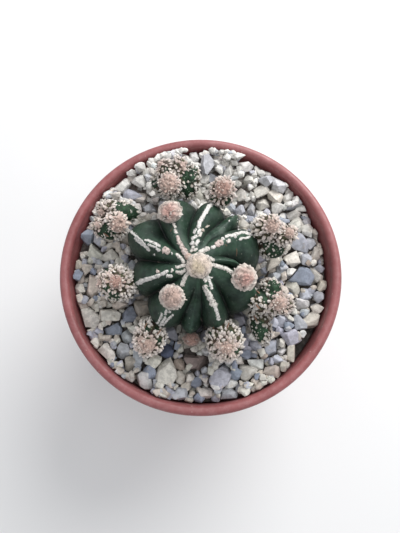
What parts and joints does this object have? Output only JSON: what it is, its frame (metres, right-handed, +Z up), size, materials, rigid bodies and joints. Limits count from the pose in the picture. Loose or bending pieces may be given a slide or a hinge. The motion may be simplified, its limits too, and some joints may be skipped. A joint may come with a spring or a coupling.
{
  "type": "potted cactus",
  "caption": "Small ribbed dome cactus with woolly crest seams, a wool cap and tufted offsets round it, in a round plastic pot topped with gravel.",
  "frame": {"origin": "centre of the pot's foot, on the surface that it stands on", "axes": "+Z up along the pot; -Y is the side that the crown leans towards, the lower edge of the picture"},
  "size_m": [0.085, 0.085, 0.0908],
  "materials": {
    "pot_plastic": "satin terracotta-coloured moulded plastic",
    "soil": "dark crumbly potting soil",
    "gravel": "matte chipped gravel, cream with slate grey",
    "cactus_skin": "dark green skin with a soft waxy sheen",
    "white_wool": "short matted off-white plant wool",
    "pink_wool": "dense tan-pink plant wool with pale edges",
    "tufted_skin": "cream and pink wool tufts over dark green skin"
  },
  "bodies": {
    "root": {"pot": "pot_plastic", "soil": "soil", "gravel": "gravel", "stem": "cactus_skin", "wool": "white_wool", "bud_northwest": "pink_wool", "bud_east": "pink_wool", "bud_southwest": "pink_wool", "bud_low": "pink_wool", "offset_northwest": "tufted_skin", "offset_north": "tufted_skin", "offset_northeast": "tufted_skin", "offset_east": "tufted_skin", "offset_south": "tufted_skin", "offset_southwest": "tufted_skin", "offset_west": "tufted_skin", "offset_west_upper": "tufted_skin"}
  },
  "joints": []
}
